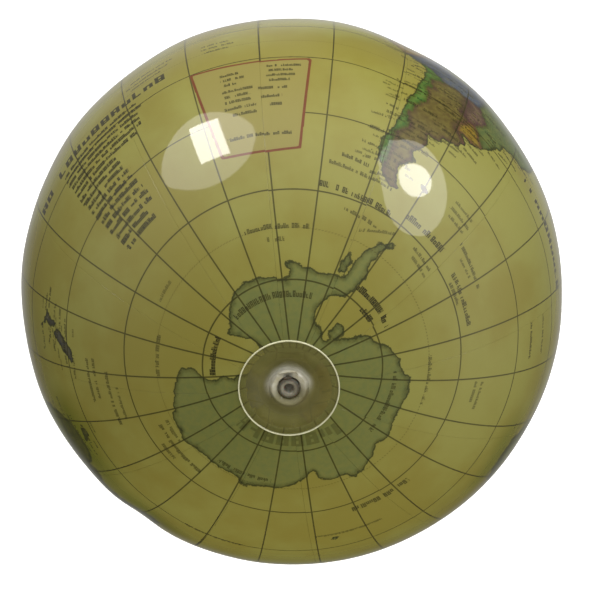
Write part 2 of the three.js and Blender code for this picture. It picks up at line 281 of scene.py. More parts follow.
# The middles of the tinted countries as (longitude, latitude), by tint. The nearest middle tints a place.
COUNTRIES = {
    ICE: [(-90, -80), (-120, -77), (0, -80), (90, -80), (180, -80), (-63, -68), (60, -72), (130, -72)],
    GREEN: [(-70.5, -20), (-71, -25), (-72, -30), (-73, -35), (-74, -40), (-75.5, -45), (-75.5, -50),
            (47, 6), (18, 15), (47, 16), (68, 28), (12, 43), (-8, 53), (-102, 23), (-113, 30), (-94, 17.5)],
    BROWN: [(-65, -25), (-66, -30), (-67, -35), (-68.5, -40), (-69.5, -45), (-69.5, -50), (-61, -31),
            (-61, -37), (-62.5, -26), (9, 17), (107, 15), (127.5, 38), (9, 61.5), (20, 69), (20, 43),
            (121, 24)],
    SLATE: [(-65, -17), (-60.5, -17.5), (-68.5, -14), (-57, 4.5), (28, -16), (30, 15), (-3, 8), (103, 46),
            (60, 41), (20, 52), (-42, 72)],
    MUSTARD: [(-75, -9), (-56.5, -32), (24, -22), (23, -3), (29, 26), (-3, 17), (45, 24), (96, 21),
              (67, 48), (-4, 40), (31, 49), (-100, 40), (-85, 38), (-115, 40), (-78, 40), (-97, 32),
              (-70, 44.5), (-152, 65), (114, 0), (102, 0), (110, -7), (121, -2)],
    SAGE: [(-52, -27), (-52, -20), (-48, -15), (-60, -5), (-45, -8), (17, -22), (35, -6), (3, 28), (-11, 10),
           (54, 32), (101, 15), (45, 58), (60, 62), (80, 60), (100, 62), (120, 62), (140, 62), (160, 65),
           (180, 67), (135, 50), (22, 39), (-110, 60), (-95, 55), (-75, 52), (-125, 58), (-65, 56),
           (-75, 69), (-110, 71), (-80, 80), (145, -6)],
    PLUM: [(-59, -25.5), (-66, 7), (18, -12), (18, 27), (21, 7), (47, -19), (65, 34), (138, 36),
           (143, 43), (2, 47), (-19, 65), (-87, 14), (-71, 19), (122, 13)],
    FOREST: [(20, -33), (28, -31), (117, -33), (125, -31), (134, -31), (142, -35), (147, -36), (146.5, -42)],
    LIME: [(-78.5, -1.5), (22, -28), (28, -26), (40, 9), (-10, 20), (12, 5), (43, 33), (84, 28),
           (100, 32), (112, 30), (90, 38), (122, 45), (115, 38), (15, 60), (25, 46), (-79, 22),
           (134, -25), (120, -27), (146, -26)],
    TAN: [(-73, 4), (38, -15), (34, -22), (38, 1), (-6, 32), (8, 9), (57, 21), (33, 39), (78, 22),
          (77, 14), (10, 51), (26, 63), (-2, 53), (-84, 10), (138, -4)],
    DUSK: [(174, -39), (170, -44)],
}

# The key printed in a box on the ocean: its corners as (longitude, latitude).
KEY_BOX = [(-120, -30), (-94.3, -30.3), (-96, -52.5), (-118, -52.5)]

# Lines of print as (first longitude, last longitude, first latitude, last latitude, height in mm,
# weight of the ink). The latitudes differ where a line is set at a slant.
SEA_NAMES = [
    (-146, -84, -77.3, -77.3, 2.4, 0.8), (-120, -92, -66.2, -66.2, 2.0, 0.8),
    (-110, -102, -68.3, -68.3, 1.8, 0.7), (-194, -165, -76.7, -76.7, 2.3, 1.0),
    (-60, -32, -72.8, -72.8, 2.6, 1.0), (-51, -40, -75, -75, 2.4, 1.0),
    (-90, -65, -58.5, -59.5, 2.4, 0.9), (-60, -44, -57.8, -57.4, 2.8, 0.9),
    (-36, -18, -57.9, -57.9, 2.2, 0.9), (-34, -26, -59.2, -59.2, 1.6, 0.8),
    (-11, 11, -66.3, -66.3, 1.6, 0.7), (-195, -176, -66.7, -66.7, 1.7, 0.7),
    (148, 166, -55, -55.3, 1.7, 0.8), (150, 161, -57, -57.2, 1.5, 0.7),
    (156, 169, -50.4, -50.6, 1.6, 0.8), (157, 169, -52.1, -52.3, 1.6, 0.8),
    (120, 145, -63.2, -63.6, 1.9, 0.8), (130, 138, -61.4, -61.6, 1.6, 0.7),
    (134, 146, -65, -65.4, 1.7, 0.7), (92, 118, -68, -68, 2.0, 0.8), (-5, 33, -72.6, -72.6, 1.9, 0.8),
    (45, 125, -77.2, -77.2, 5.4, 0.42), (-42, -27, -53.3, -54, 1.7, 0.8), (-38, -32, -55, -55, 1.4, 0.7),
    (1, 10, -54, -54.4, 1.5, 0.7), (1, 8, -55.6, -55.8, 1.5, 0.7), (-12, -3, -35, -35, 1.6, 0.6),
    (-12, -3, -40.2, -40.2, 1.7, 0.8), (-51, -44, -48.6, -48.6, 1.5, 0.7),
    (-51, -43, -50.3, -50.3, 1.5, 0.7), (-50, -43, -51.8, -51.8, 1.5, 0.7),
    (-163, -154, -64.9, -64.9, 1.4, 0.6), (-165, -125, -25.5, -25.5, 5.6, 0.95),
    (-40, -15, -24.6, -24.6, 5.2, 0.95), (62, 100, -22, -22, 5.4, 0.95), (-30, 0, 30, 30, 5.4, 0.95),
    (-175, -130, 26, 26, 5.6, 0.95), (40, 62, -58, -58, 3.0, 0.8), (-117, -111, -20, -20, 1.5, 0.7),
    (-117, -110, -21.6, -21.6, 1.5, 0.7), (-116, -111, -23.2, -23.2, 1.5, 0.7),
    (-133, -123, -19, -19, 1.6, 0.7), (-134, -124, -20.8, -20.8, 1.6, 0.7),
    (-133, -126, -22.4, -22.4, 1.6, 0.7), (-85, -77, -52.4, -53, 1.7, 0.9),
    (-88, -74, -54.3, -55.2, 1.7, 0.8), (-80, -66, -61.8, -62.9, 1.6, 0.8),
    (-72, -60, -64.6, -61.9, 1.4, 0.7), (-52, -42, -61.3, -61.6, 1.5, 0.8),
    (-50, -41, -62.7, -63, 1.4, 0.7), (55, 75, -51.2, -51.2, 1.6, 0.7), (95, 112, -45, -45, 1.8, 0.7),
]
# Rows of the key as (first longitude, last longitude, latitude).
KEY_ROWS = [
    (-113.6, -109.8, -33.6), (-113.6, -108.8, -35), (-113.4, -110.4, -36.4), (-114, -107.2, -38.2),
    (-114, -108, -39.6), (-114, -107.6, -41), (-114, -106.4, -42.6), (-112.5, -107, -44.2),
    (-104, -96.6, -32.6), (-103.6, -98.2, -34), (-104, -97.6, -35.4), (-103.6, -99, -36.8),
    (-106, -99.6, -38.8), (-105.6, -100.4, -40.9), (-103.6, -100.8, -42.9), (-114.8, -98.6, -49.3),
]
# Letters over LARGE_LETTERS mm high are set wide. A face belongs to a line of print when it lies
# within LINE_REACH letter heights of the line's middle, which LINE_MARGIN degrees for each mm of
# height make sure of, and every line takes its strokes from LINE_STEP letters further on.
LARGE_LETTERS = 4
WIDE_SETTING = 0.5
LINE_MARGIN = 1.6
LINE_REACH = 1.1
LINE_STEP = 61.0

# The block of notes on the ocean, in degrees: long rows that shorten, then short ones.
NOTE_WEST = -155
NOTE_TOP = -28.6
NOTE_ROWS = 17
NOTE_LONG_ROWS = 6
NOTE_PITCH = 1.63
NOTE_LONG = 24
NOTE_TAPER = 0.55
NOTE_SHORT = 15.5
NOTE_RAGGED = 3

# The height in mm and the weight of each kind of print, and the lengths in mm of its names.
NOTE_PRINT = (2.3, 1.0)
KEY_PRINT = (1.6, 0.92)
COAST_PRINT = (1.35, 0.8)
COUNTRY_PRINT = (1.9, 0.8)
TOWN_PRINT = (1.1, 0.7)
COAST_LENGTHS = (5, 11)
COUNTRY_LENGTHS = (7, 13)
TOWN_LENGTHS = (3, 7)

# Names at a coast, in degrees: how far out they start, how much they slant, and how far from the
# equator they go on.
COAST_GAP = 0.6
COAST_SLANT = 0.6
COAST_NAMES_END = 72

# Towns round each country's name: how many, how far to its west and east in mm, and how far to its
# north or south in degrees.
TOWNS = 5
TOWN_WEST_EAST = (-11, 7)
TOWN_SOUTH_NORTH = 4.5


# --- where things lie on the map ---

def unit(ways):
    """Directions made one long."""
    return ways / np.linalg.norm(ways, axis=-1, keepdims=True)


def map_axes():
    """The map's own axes on the ball: it was printed a little askew of the panels' poles."""
    return Matrix.Rotation(MAP_TILT, 3, Vector((-math.sin(MAP_TILT_SIDE), math.cos(MAP_TILT_SIDE), 0)))


def globe_point(longitude, latitude):
    """A place on the map as a direction on the map's own axes, whose south pole is up."""
    turn = np.radians(MAP_TURN - np.asarray(longitude, float))
    rise = np.radians(np.asarray(latitude, float))
    return np.stack([np.cos(rise) * np.cos(turn), np.cos(rise) * np.sin(turn), -np.sin(rise)], -1)


def degrees_of(points, near):
    """Longitudes, all within half a turn of near, and latitudes of directions on the map's axes."""
    longitude = MAP_TURN - np.degrees(np.arctan2(points[:, 1], points[:, 0]))
    longitude = near + (longitude - near + 180) % 360 - 180
    return longitude, -np.degrees(np.arcsin(np.clip(points[:, 2], -1, 1)))


def flattened(points, middle):
    """Directions as seen from the ball's centre on a flat sheet, where great circles are straight."""
    any_other_way = (0.3, 0.5, 0.8)
    least_depth = 0.02
    side = unit(np.cross(middle, any_other_way))
    rise = np.cross(middle, side)
    depth = np.maximum(points @ middle, least_depth)
    return points @ side / depth, points @ rise / depth


def corners_and_middle(outline):
    corners = globe_point(*np.array(outline, float).T)
    return corners, unit(corners.mean(0))


def outline_distance(points, outline):
    """Distance in mm from a coastline: above zero inside it."""
    corners, middle = corners_and_middle(outline)
    facing = 0.05
    tiny = 1e-12
    x, y = flattened(points, middle)
    corner_x, corner_y = flattened(corners, middle)
    nearest = np.full(len(points), FAR)
    inside = np.zeros(len(points), bool)
    for index in range(len(outline)):
        a, b = corners[index - 1], corners[index]
        along = np.clip((points - a) @ (b - a) / ((b - a) @ (b - a)), 0, 1)
        foot = unit(a + along[:, None] * (b - a))
        gap = np.linalg.norm(points - foot, axis=1)
        nearest = np.minimum(nearest, gap)
        ax, ay, bx, by = corner_x[index - 1], corner_y[index - 1], corner_x[index], corner_y[index]
        crosses = (ay > y) != (by > y)
        inside ^= crosses & (x < ax + (y - ay) * (bx - ax) / (by - ay + tiny))
    inside &= points @ middle > facing
    return np.where(inside, nearest, -nearest) * RADIUS / MM


def wobble(points, pitch, size, seed):
    """Smooth seeded noise over the ball, one number per point, from -size to size."""
    shift = Vector((seed, 2 * seed, 3 * seed))
    scale = RADIUS / pitch
    return np.array([size * noise.fractal(Vector(p) * scale + shift, 1.0, 2.0, 4) for p in points])


def coast_distance(points):
    """Distance in mm from the nearest coast: above zero on land, below zero at sea."""
    reach = np.full(len(points), -FAR)
    margin = 0.12
    for outline in CONTINENTS + ISLANDS:
        corners, middle = corners_and_middle(outline)
        spread = math.acos(np.clip((corners @ middle).min(), -1, 1))
        near = points @ middle > math.cos(min(math.pi, spread + margin))
        if near.any():
            reach[near] = np.maximum(reach[near], outline_distance(points[near], outline))
    reach = np.minimum(reach, -outline_distance(points, INLAND_SEA))
    ragged = sum(wobble(points, *way) for way in COAST_WOBBLES)
    return np.clip(reach + ragged, -FAR, FAR)


def country_tints(points):
    """The tint of every point, and its distance in mm from the nearest border."""
    bend = np.stack([wobble(points, BORDER_PITCH, 1.0, seed) for seed in BORDER_SEEDS], -1)
    bent = unit(points + BORDER_BEND * bend)
    gaps = np.stack([np.arccos(np.clip(bent @ globe_point(*np.array(places, float).T).T, -1, 1)).min(1)
                     for places in COUNTRIES.values()], -1)
    two = np.sort(gaps, axis=1)[:, :2]
    border = (two[:, 1] - two[:, 0]) / 2 * RADIUS / MM
    return np.array(list(COUNTRIES))[gaps.argmin(1)], np.minimum(border, FAR)


def painted_shade_patch(points):
    """How far a place is into the patch of painted shade round the southern lands, from 0 to 1."""
    reach = np.maximum(outline_distance(points, AUSTRALIA), outline_distance(points, AFRICA))
    south = np.clip((points[:, 2] - SHADE_PATCH_END) / SHADE_PATCH_FADE, 0, 1)
    return np.clip(1 + (reach + wobble(points, *SHADE_PATCH_WOBBLE)) / SHADE_PATCH_REACH, 0, 1) * south


def key_distance(points):
    """Distance in mm from the frame of the printed key: above zero inside it."""
    return np.clip(outline_distance(points, KEY_BOX), -FAR, FAR)


# --- lines of print ---

def note_lines():
    """The block of notes on the ocean: even rows, ragged at their east end."""
    dice = random.Random(4)
    for row in range(NOTE_ROWS):
        latitude = NOTE_TOP - NOTE_PITCH * row
        width = NOTE_LONG - NOTE_TAPER * row if row < NOTE_LONG_ROWS else NOTE_SHORT
        width -= dice.uniform(0, NOTE_RAGGED)
        yield (NOTE_WEST, NOTE_WEST + width, latitude, latitude, *NOTE_PRINT)


def key_lines():
    for first, last, latitude in KEY_ROWS:
        yield (first, last, latitude, latitude, *KEY_PRINT)


def degrees_per_mm(latitude):
    """Degrees of longitude in a millimetre along a parallel."""
    return 1 / math.cos(math.radians(latitude)) / math.radians(RADIUS / MM)


def coast_lines():
    """Place names that run out to sea from the coasts, the way old maps set them."""
    dice = random.Random(9)
    for outline in CONTINENTS[1:] + NEW_ZEALAND:
        middle = sum(point[0] for point in outline) / len(outline)
        for index in range(len(outline)):
            longitude, latitude = (np.array(outline[index]) + np.array(outline[index - 1])) / 2
            if abs(latitude) > COAST_NAMES_END:
                continue
            length = dice.uniform(*COAST_LENGTHS) * degrees_per_mm(latitude)
            slant = dice.uniform(-COAST_SLANT, COAST_SLANT)
            start = longitude + COAST_GAP if longitude > middle else longitude - COAST_GAP - length
            yield (start, start + length, latitude, latitude + slant, *COAST_PRINT)


def land_lines():
    """A name across each country and a few towns round it."""
    dice = random.Random(6)
    for tint, places in COUNTRIES.items():
        if tint == ICE:
            continue
        for longitude, latitude in places:
            turn = degrees_per_mm(latitude)
            half = dice.uniform(*COUNTRY_LENGTHS) * turn / 2
            yield (longitude - half, longitude + half, latitude, latitude, *COUNTRY_PRINT)
            for _ in range(TOWNS):
                start = longitude + dice.uniform(*TOWN_WEST_EAST) * turn
                level = latitude + dice.uniform(-TOWN_SOUTH_NORTH, TOWN_SOUTH_NORTH)
                yield (start, start + dice.uniform(*TOWN_LENGTHS) * turn, level, level, *TOWN_PRINT)


PRINT_LINES = [*SEA_NAMES, *key_lines(), *note_lines(), *coast_lines(), *land_lines()]


def line_places(line, longitude, latitude):
    """How far along and how high up a line of print a place lies, both in letter heights. Large letters
    are set wide."""
    first, last, low, high, height, _ = line
    offset = (longitude - first + 180) % 360 - 180
    level = low + (high - low) * offset / (last - first)
    to_letters = math.radians(1) * RADIUS / MM / height
    narrow = math.cos(math.radians((low + high) / 2)) * (WIDE_SETTING if height > LARGE_LETTERS else 1)
    return offset * narrow * to_letters, (latitude - level) * to_letters + 0.5


def set_print(longitude, latitude, corner_longitude, corner_latitude):
    """For each corner of each face: how far along a line, how high up it, and the ink's weight."""
    shape = corner_longitude.shape
    written = np.zeros((*shape, 3))
    written[..., 1] = -FAR
    for number, line in enumerate(PRINT_LINES):
        first, last, low, high, height, weight = line
        near = np.abs(latitude - (low + high) / 2) < abs(high - low) / 2 + LINE_MARGIN * height
        if not near.any():
            continue
        rows = np.nonzero(near)[0]
        along, up = line_places(line, longitude[rows], latitude[rows])
        whole = line_places(line, np.array([last]), np.array([low]))[0][0]
        held = rows[(along > 0) & (along < whole) & (np.abs(up - 0.5) < LINE_REACH)]
        if len(held):
            along, up = line_places(line, corner_longitude[held], corner_latitude[held])
            written[held] = np.stack([along + LINE_STEP * number, up, np.full(up.shape, weight)], -1)
    return written


def store(mesh, name, kind, domain, values):
    layer = mesh.attributes.new(name, kind, domain)
    key = {"FLOAT_VECTOR": "vector", "FLOAT_COLOR": "color"}[kind]
    layer.data.foreach_set(key, np.asarray(values, np.float32).ravel())


def print_map(mesh, number):
    """Gives a panel's mesh what its print needs to know at each point."""
    count = len(mesh.vertices)
    places = np.empty(count * 3)
    mesh.vertices.foreach_get("co", places)
    points = unit(places.reshape(-1, 3) - np.array(CENTRE)) @ np.array(map_axes())
    middle = MAP_TURN - math.degrees((number + 0.5) * PANEL_TURN)
    longitude, latitude = degrees_of(points, middle)
    slip = random.Random(number)
    longitude += slip.uniform(-PRINT_SLIP, PRINT_SLIP)
    latitude += slip.uniform(-PRINT_SLIP, PRINT_SLIP)
    points = globe_point(longitude, latitude)
    tints, border = country_tints(points)
    grid = np.stack([longitude, latitude, painted_shade_patch(points)], -1)
    land = np.stack([coast_distance(points), border, key_distance(points)], -1)
    store(mesh, "grid", "FLOAT_VECTOR", "POINT", grid)
    store(mesh, "land", "FLOAT_VECTOR", "POINT", land)
    store(mesh, "tint", "FLOAT_COLOR", "POINT", np.concatenate([tints, np.ones((count, 1))], 1))
    corners = np.empty(len(mesh.loops), int)
    mesh.loops.foreach_get("vertex_index", corners)
    corners = corners.reshape(-1, 4)
    corner_longitude, corner_latitude = longitude[corners], latitude[corners]
    written = set_print(corner_longitude.mean(1), corner_latitude.mean(1), corner_longitude, corner_latitude)
    store(mesh, "words", "FLOAT_VECTOR", "CORNER", written)


# --- shader writing ---

class Value:
    """A number that varies over a surface. Sums written with it become Math nodes."""

    def __init__(self, finish, socket):
        self.finish = finish
        self.socket = socket

    def math(self, operation, *others):
        values = dict(enumerate((self, *others)))
        return self.finish.put("Math", {"operation": operation}, values)

    def __add__(self, other):
        return self.math("ADD", other)

    __radd__ = __add__

    def __mul__(self, other):
        return self.math("MULTIPLY", other)

    __rmul__ = __mul__

    def __sub__(self, other):
        return self.math("SUBTRACT", other)

    def __rsub__(self, other):
        return (self * -1) + other

    def __abs__(self):
        return self.math("ABSOLUTE")

    def fraction(self):
        return self.math("FRACT")

    def floor(self):
        return self.math("FLOOR")

    def above(self, other):
        return self.math("GREATER_THAN", other)

    def below(self, other):
        return self.math("LESS_THAN", other)

    def larger(self, other):
        return self.math("MAXIMUM", other)

    def smaller(self, other):
        return self.math("MINIMUM", other)

    def rise(self, low, high):
        """0 up to low, 1 from high on, and smooth between."""
        settings = {"interpolation_type": "SMOOTHSTEP"}
        return self.finish.put("MapRange", settings, {"Value": self, "From Min": low, "From Max": high})


class Finish:
    """A material or a world being written, with one method that adds any node."""

    def __init__(self, owner):
        owner.use_nodes = True
        self.owner = owner
        self.tree = owner.node_tree
        self.tree.nodes.clear()

    def put(self, kind, settings=None, sockets=None, output=0):
        node = self.tree.nodes.new("ShaderNode" + kind)
        for name, value in (settings or {}).items():
            setattr(node, name, value)
        for name, value in (sockets or {}).items():
            socket = node.inputs[name]
            if isinstance(value, Value):
                self.tree.links.new(value.socket, socket)
            else:
                socket.default_value = value
        return Value(self, node.outputs[output]) if node.outputs else None

    def place(self):
        return self.put("TexCoord", output=3)

    def from_axis(self):
        """Distance from the ball's axis, and y, both in mm."""
        x, y, _ = self.parts(self.place())
        return (x * x + y * y).math("SQRT", 0.5) * (1 / MM), y * (1 / MM)

    def grain(self, size, detail, rough):
        """Noise from 0 to 1 whose spots are about size metres across."""
        sockets = {"Vector": self.place(), "Scale": 1 / size, "Detail": detail, "Roughness": rough}
        return self.put("TexNoise", None, sockets)

    def attribute(self, name, output):
        return self.put("Attribute", {"attribute_name": name}, output=output)

    def parts(self, vector):
        node = self.put("SeparateXYZ", None, {"Vector": vector}).socket.node
        return [Value(self, socket) for socket in node.outputs]

    def mix(self, share, first, second, blend="MIX"):
        colours = [c if isinstance(c, Value) else (*c, 1) for c in (first, second)]
        sockets = {0: share, 6: colours[0], 7: colours[1]}
        settings = {"data_type": "RGBA", "blend_type": blend}
        return self.put("Mix", settings, sockets, output=2)

    def bump(self, height, depth):
        return self.put("Bump", None, {"Height": height, "Strength": 1.0, "Distance": depth})

    def finish(self, **sockets):
        named = {name.replace("_", " "): value for name, value in sockets.items()}
        surface = self.put("BsdfPrincipled", None, named)
        self.put("OutputMaterial", None, {"Surface": surface})
        return self.owner


# --- materials ---

PAPER = ink(128, 125, 62)
PAPER_DEEP = ink(120, 112, 48)
PAPER_PALE = ink(130, 128, 76)
# The colour of the painted shade round southern Australia and Africa.
SHADE_PATCH_COLOUR = ink(81, 88, 12)
LINE_INK = ink(18, 16, 1)
WORD_INK = ink(5, 5, 1)
COAST_INK = ink(14, 26, 14)
KEY_PAPER = ink(124, 114, 60)
KEY_INK = ink(92, 24, 16)
FILM_CLEAR = ink(118, 112, 62)
FILM_MILKY = ink(186, 182, 166)
FILM_EDGE = ink(204, 201, 168)
FUNNEL_CLEAR = ink(112, 106, 72)
FUNNEL_PALE = ink(170, 166, 150)
FUNNEL_DEEP = ink(146, 140, 118)
MILKY_PALE = ink(206, 202, 190)
MILKY_DEEP = ink(178, 172, 152)
GREY_PALE = ink(128, 123, 108)
GREY_DEEP = ink(100, 95, 80)
# Painted shade of the gap round the plug's cap.
GREY_EDGE_SHADE = ink(64, 58, 46)
# Painted glows of the moulded vinyl and of the printed film's back, standing in for light let through them.
VINYL_GLOW = 0.14
BACK_GLOW = 0.22
VINYL_INDEX = 1.49
FILM_INDEX = 1.5

# Grains as (size of a spot in metres, detail, roughness).
PAPER_CLOUD = (0.045, 4, 0.55)
PAPER_FIBRE = (0.0022, 3, 0.6)
SHORE_GRAIN = (0.006, 5, 0.7)
RUB_MARKS = (0.02, 4, 0.6)
FILM_DIMPLES = (0.0011, 2, 0.5)
FILM_RIPPLE = (0.006, 2, 0.5)
FILM_HAZE = (0.009, 4, 0.6)
FILM_PATCHES = (0.004, 3, 0.6)
VINYL_CLOUD = (0.004, 4, 0.6)
VINYL_FINE = (0.0006, 3, 0.6)
FUNNEL_CLOUD = (0.003, 4, 0.6)
FLOOR_GRAIN = (0.05, 3, 0.5)
WALL_GRAIN = (0.5, 2, 0.5)

# Where the ink of a line begins and ends to fade, in mm from the line's middle.
GRID_LINE = (0.2, 0.4)
DOTTED_LINE = (0.14, 0.3)
FRONTIER_LINE = (0.12, 0.3)
COAST_LINE = (0.22, 0.5)
KEY_LINE = (0.42, 0.66)
KEY_LINE_INSET = 0.5
DOTS_PER_MM = 0.8
DOT_GAP = 0.45

# How wide the darker fringe of a tint is along its border and along its coast, in mm.
BORDER_FRINGE = (0.2, 2.6)
COAST_FRINGE = (0.2, 2.4)

# A cut that leaves a clean edge.
CLEAN = (-0.1, 0.1)

# Strokes of the letters, in letter heights. Weights between LARGE_WEIGHT and BOLD_WEIGHT mark the
# large letters, whose strokes are thinner, and heavier ones the boldest print, which is filled in.
LETTER_PITCH = 0.52
STROKE_LEFT = 0.2
STROKE_RIGHT = 0.7
BAR_EDGE = (0.08, 0.14)
BAR_REACH = (0.12, 0.78)
FOOT_BAR = 0.1
WAIST_BAR = 0.42
SHORT_LETTER = 0.68
LARGE_WEIGHT = 0.94
BOLD_WEIGHT = 0.97


def grid_lines(finish, longitude, latitude):
    """The map's grid, as ink from 0 to 1."""
    to_mm = math.radians(1) * RADIUS / MM
    shrink = finish.put("Math", {"operation": "COSINE"}, {0: latitude * math.radians(1)})
    across = abs((longitude * (1 / GRID) + 0.5).fraction() - 0.5) * GRID * to_mm * shrink
    level = abs((latitude * (1 / GRID) + 0.5).fraction() - 0.5) * GRID * to_mm
    lines = across.smaller(level)
    dots = (longitude * shrink * to_mm * DOTS_PER_MM).fraction().above(DOT_GAP)
    circle = abs(abs(latitude) - POLAR_CIRCLE) * to_mm
    tropic = abs(abs(latitude) - TROPIC) * to_mm
    dotted = (1 - circle.smaller(tropic).rise(*DOTTED_LINE)) * dots * 0.5
    return (1 - lines.rise(*GRID_LINE)).larger(dotted)


def letters(finish, words):
    """Strokes that fill a line of print without spelling anything, as ink from 0 to 1."""
    along, up, weight = finish.parts(words)
    cell = along * (1 / LETTER_PITCH)
    across = cell.fraction()
    dice = finish.put("TexWhiteNoise", {"noise_dimensions": "1D"}, {"W": cell.floor()}, output=1)
    first, second, third = finish.parts(dice)
    tall = first.above(0.35) * (1 - SHORT_LETTER) + SHORT_LETTER
    height = up.above(0.0) * up.below(tall)
    large = weight.above(LARGE_WEIGHT) * weight.below(BOLD_WEIGHT)
    thin = 0.12 - large * 0.01
    thick = 0.22 - large * 0.03
    left = 1 - abs(across - STROKE_LEFT).rise(thin, thick)
    right = (1 - abs(across - STROKE_RIGHT).rise(thin, thick)) * second.above(0.25)
    between = across.above(BAR_REACH[0]) * across.below(BAR_REACH[1])
    foot = (1 - abs(up - FOOT_BAR).rise(*BAR_EDGE)) * third.above(0.4)
    waist = (1 - abs(up - WAIST_BAR).rise(*BAR_EDGE)) * first.above(0.5)
    head = (1 - abs(up - tall + FOOT_BAR).rise(*BAR_EDGE)) * second.above(0.5)
    strokes = left.larger(right).larger(foot.larger(waist).larger(head) * between)
    filled = weight.above(BOLD_WEIGHT) * 0.4 + 0.12 - large * 0.12
    spaces = (first + second + third).fraction().above(0.09)
    return strokes.larger(filled) * height * spaces * weight


def printed_film(name, back):
    """The map print under its gloss. On its back the film has a painted glow, standing in for the light let
    through.
    """
    finish = Finish(bpy.data.materials.new(name))
    longitude, latitude, shade_patch = finish.parts(finish.attribute("grid", 1))
    coast, border, key = finish.parts(finish.attribute("land", 1))
    cloud = finish.grain(*PAPER_CLOUD)
    fibre = finish.grain(*PAPER_FIBRE)
    shore = coast + (finish.grain(*SHORE_GRAIN) - 0.5) * 5
    land = shore.rise(*CLEAN)
    keyed = key.rise(*CLEAN)
    paper = finish.mix(cloud.rise(0.35, 0.65), PAPER, PAPER_DEEP)
    # Painted shade: a darker lime patch on the sea round southern Australia and Africa.
    paper = finish.mix(shade_patch.rise(0, 1) * 0.85, paper, SHADE_PATCH_COLOUR)
    paper = finish.mix(keyed * 0.8, paper, KEY_PAPER)
    fringe = (1 - abs(border).rise(*BORDER_FRINGE)).larger(1 - shore.rise(*COAST_FRINGE)) * 0.55
    country = finish.attribute("tint", 0)
    tint = finish.mix(fibre.rise(0.3, 0.7) * 0.22, country, PAPER_DEEP)
    tint = finish.mix(cloud * 0.25, tint, PAPER_PALE)
    tint = finish.mix(fringe, tint, tint, "MULTIPLY")
    red, green, _ = finish.parts(country)
    tint = finish.mix(fringe * (red - green).rise(0.005, 0.03), tint, PLUM)
    colour = finish.mix(land, paper, tint)
    grid = grid_lines(finish, longitude, latitude) * (1 - keyed) * 0.85
    frontier = (1 - abs(border).rise(*FRONTIER_LINE)) * land * 0.7
    outline = (1 - abs(shore).rise(*COAST_LINE)) * 0.85
    key_frame = (1 - abs(key - KEY_LINE_INSET).rise(*KEY_LINE)) * 0.95
    colour = finish.mix(grid, colour, LINE_INK)
    colour = finish.mix(frontier.larger(outline), colour, COAST_INK)
    colour = finish.mix(key_frame, colour, KEY_INK)
    colour = finish.mix(letters(finish, finish.attribute("words", 1)), colour, WORD_INK)
    colour = finish.mix((fibre - 0.5) * 0.25 + 0.12, colour, PAPER_DEEP)
    rub = finish.grain(*RUB_MARKS).rise(0.35, 0.75)
    sockets = {"Base_Color": colour, "Roughness": rub * 0.03 + 0.03, "IOR": FILM_INDEX}
    sockets["Normal"] = finish.bump(finish.grain(*FILM_DIMPLES), 0.003 * MM)
    # Painted glow on the film's back, standing in for the light let through it.
    if back:
        sockets["Emission_Color"] = colour
        sockets["Emission_Strength"] = BACK_GLOW
    return finish.finish(**sockets)


def milk_and_lit_side(finish, inner, outer):
    """Distance from the axis in mm, and how milky the vinyl is: most at the valve's mouth, and as painted
    light, milkier and so lighter on the lamps' side."""
    radius, y = finish.from_axis()
    uneven = radius + (finish.grain(*FILM_PATCHES) - 0.5) * 1.2
    # Painted light: the vinyl is made milkier, and so lighter, on the lamps' side (-y) than on the other.
    side = 1 - y.rise(-3, 4)
    return radius, (1 - uneven.rise(inner, outer)) * (side * 0.92 + 0.08)


def clear_film(name, thin, thick, weld, tip):
    """Clear vinyl: see-through in its middle, milkier at its welded edge and round the valve."""
    finish = Finish(bpy.data.materials.new(name))
    radius, milk_and_light = milk_and_lit_side(finish, tip - 1, tip + 3)
    haze = finish.grain(*FILM_HAZE)
    rim = radius.rise(weld - 0.62, weld - 0.45)
    band = radius.rise(weld - 3.3, weld - 2.6) * -0.1
    alpha = (haze.rise(0.3, 0.8) * (thick - thin) + thin + milk_and_light * 0.3 + band).larger(rim * 0.8)
    # Milky colour: partly the vinyl's own milkiness round the valve, partly painted light, lighter on the
    # lamps' side.
    colour = finish.mix(milk_and_light, FILM_CLEAR, FILM_MILKY)
    colour = finish.mix(rim, colour, FILM_EDGE)
    rough = finish.grain(*FILM_PATCHES) * 0.08 + milk_and_light * 0.2 + 0.05
    ripple = finish.grain(*FILM_RIPPLE)
    return finish.finish(Base_Color=colour, Alpha=alpha, Roughness=rough, IOR=FILM_INDEX,
                         Normal=finish.bump(ripple, 0.05 * MM))


def moulded_vinyl(name, pale, deep, alpha, roughness, edge=None):
    """Soft moulded vinyl, cloudy inside, with flow marks on its skin and a painted glow. It may be painted
    darker towards an edge, whose radius is given in mm, as painted shade of the gap round it."""
    finish = Finish(bpy.data.materials.new(name))
    cloud = finish.grain(*VINYL_CLOUD)
    fine = finish.grain(*VINYL_FINE)
    colour = finish.mix(cloud.rise(0.3, 0.7), pale, deep)
    if edge:
        radius, _ = finish.from_axis()
        # Painted shade: darker from near the plug's edge outwards, for the shaded gap round the cap and the
        # stem.
        colour = finish.mix(radius.rise(edge - 1.3, edge - 0.4) * 0.85, colour, GREY_EDGE_SHADE)
    cover = cloud * 0.16 + (alpha - 0.08)
    rough = fine * 0.12 + (roughness - 0.06)
    # Painted glow: the vinyl gives off a little light of its own colour.
    return finish.finish(Base_Color=colour, Alpha=cover, Roughness=rough, IOR=VINYL_INDEX,
                         Subsurface_Weight=0.15, Subsurface_Scale=0.002,
                         Emission_Color=colour, Emission_Strength=VINYL_GLOW,
                         Normal=finish.bump(fine, 0.02 * MM))


